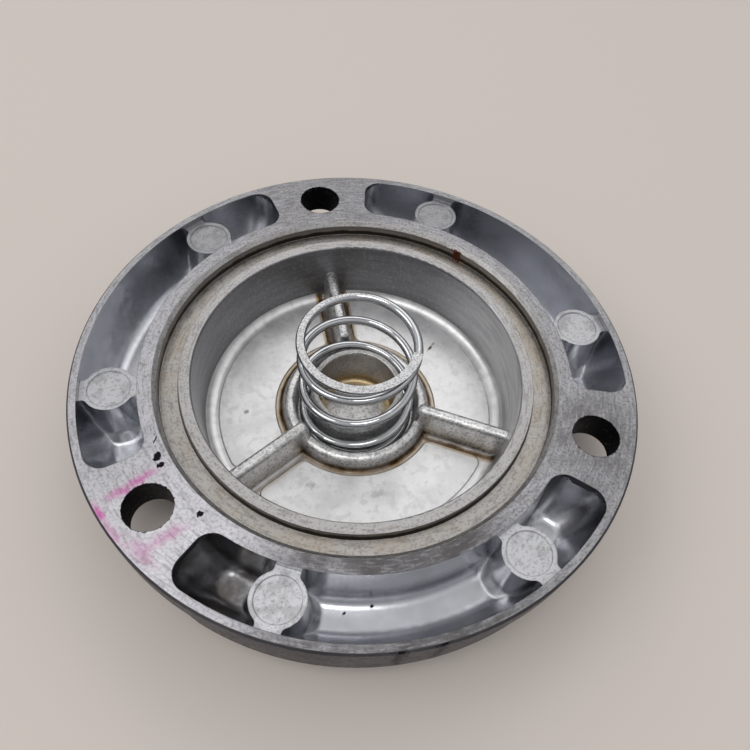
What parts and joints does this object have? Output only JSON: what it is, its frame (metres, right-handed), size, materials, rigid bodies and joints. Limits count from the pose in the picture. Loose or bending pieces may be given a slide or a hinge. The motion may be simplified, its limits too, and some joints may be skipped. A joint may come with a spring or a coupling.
{
  "type": "oil filter cover",
  "caption": "Round cast cover for an oil filter housing, with a bowl, a seal groove, bolt holes between arc pockets, and a coil spring on its hub.",
  "frame": {"origin": "where the cover's axis meets the milled joint face", "axes": "+Z out of the open side, away from the outer face; +Y through the centre of one bolt hole"},
  "size_m": [0.082, 0.082, 0.021],
  "materials": {
    "casting": "die-cast skin, with a milled joint face and a turned seal groove, oil-stained",
    "spring_wire": "bright zinc-plated wire with ground ends"
  },
  "bodies": {
    "root": {"cover": "casting", "spring": "spring_wire"}
  },
  "joints": []
}
